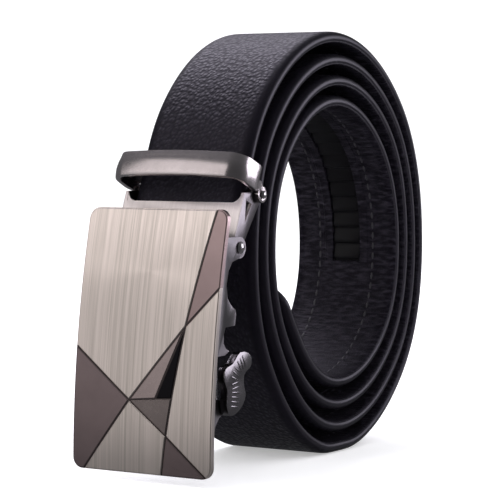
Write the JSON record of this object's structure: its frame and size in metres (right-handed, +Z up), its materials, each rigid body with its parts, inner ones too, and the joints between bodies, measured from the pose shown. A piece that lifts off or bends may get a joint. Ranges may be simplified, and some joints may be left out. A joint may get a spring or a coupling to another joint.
{
  "type": "ratchet belt",
  "caption": "Leather ratchet belt coiled on its edge, with a clamped metal plate buckle on a hinge, keeper loop and side release lever.",
  "frame": {"origin": "on the surface that the belt stands on, under the middle of its overall box", "axes": "+Z up, +X across the strap's width to the lever's side, -Y the way the plate faces"},
  "size_m": [0.046, 0.1306, 0.1233],
  "materials": {
    "black_leather": "pebbled, satin",
    "black_plastic": "moulded teeth",
    "silver": "satin warm silver",
    "gunmetal": "polished gunmetal",
    "polished_gunmetal": "polished gunmetal",
    "brushed_silver": "brushed warm silver with dark polished facets"
  },
  "bodies": {
    "belt": {"strap": "black_leather", "ratchet_track": "black_plastic", "clamp_base": "silver", "clamp_jaw": "gunmetal", "jaw_pin": "gunmetal", "hinge_pin": "gunmetal", "keeper_loop": "polished_gunmetal"},
    "buckle": {"buckle_frame": "gunmetal", "faceplate": "brushed_silver"},
    "lever": {"release_lever": "gunmetal"}
  },
  "joints": [
    {"name": "buckle_hinge", "type": "hinge", "parent": "belt", "child": "buckle", "pos_m": [-0.0005, -0.04849, 0.06304], "axis": [1, 0, 0], "range_deg": [-42, 0]},
    {"name": "lever_hinge", "type": "hinge", "parent": "buckle", "child": "lever", "pos_m": [-0.0005, -0.05574, 0.02084], "axis": [-1, 0, 0], "range_deg": [0, 14], "stiffness_Nm_per_rad": 0.02, "springref_deg": -14.32}
  ]
}
